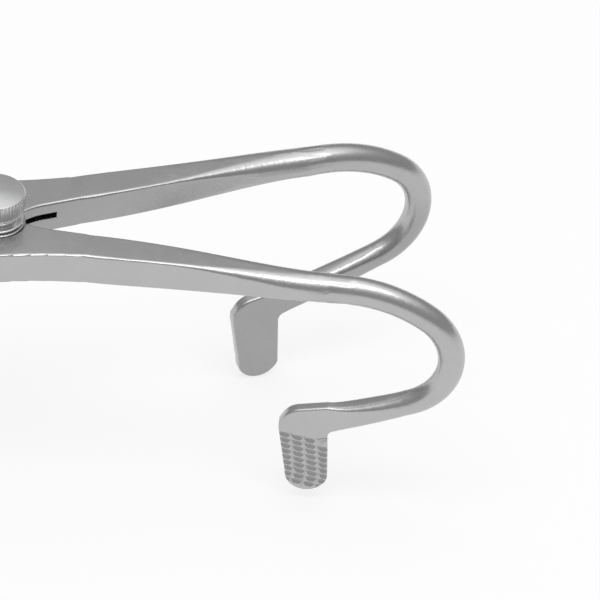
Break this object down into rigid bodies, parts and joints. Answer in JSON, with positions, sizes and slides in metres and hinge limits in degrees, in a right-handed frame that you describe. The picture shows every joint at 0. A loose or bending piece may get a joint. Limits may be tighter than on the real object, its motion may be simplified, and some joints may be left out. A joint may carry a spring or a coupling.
{
  "type": "mouth gag",
  "caption": "Hand-held two-arm mouth gag with bent rods, cross-serrated tooth plates, bowed handles and a knurled thumb screw that clamps its fork-and-tongue joint.",
  "frame": {"origin": "on the pivot axis, at mid-thickness of the joint", "axes": "+X from the handles to the jaws, +Z along the pivot axis to the thumb screw's head, the fork arm at +Y"},
  "size_m": [0.1899, 0.0574, 0.0649],
  "materials": {
    "arm_steel": "satin stainless steel, fine-blasted and lightly brushed",
    "screw_steel": "turned and polished stainless steel"
  },
  "bodies": {
    "fork": {"fork_arm": "arm_steel"},
    "tongue": {"tongue_arm": "arm_steel"},
    "lift": {"screw_washer": "screw_steel"},
    "screw": {"thumb_screw": "screw_steel", "stop_collar": "screw_steel"}
  },
  "joints": [
    {"name": "jaw_pivot", "type": "hinge", "parent": "fork", "child": "tongue", "pos_m": [0, 0, 0], "axis": [0, 0, -1], "range_deg": [-25, 17]},
    {"name": "screw_lift", "type": "slide", "parent": "fork", "child": "lift", "axis": [0, 0, 1], "range_m": [0, 0.00071]},
    {"name": "screw_turn", "type": "hinge", "parent": "lift", "child": "screw", "pos_m": [0, 0, 0], "axis": [0, 0, 1], "range_deg": [0, 360]}
  ],
  "couplings": [
    {"joint": "screw_lift", "follows": "screw_turn", "m_per_rad": 0.00011141}
  ]
}
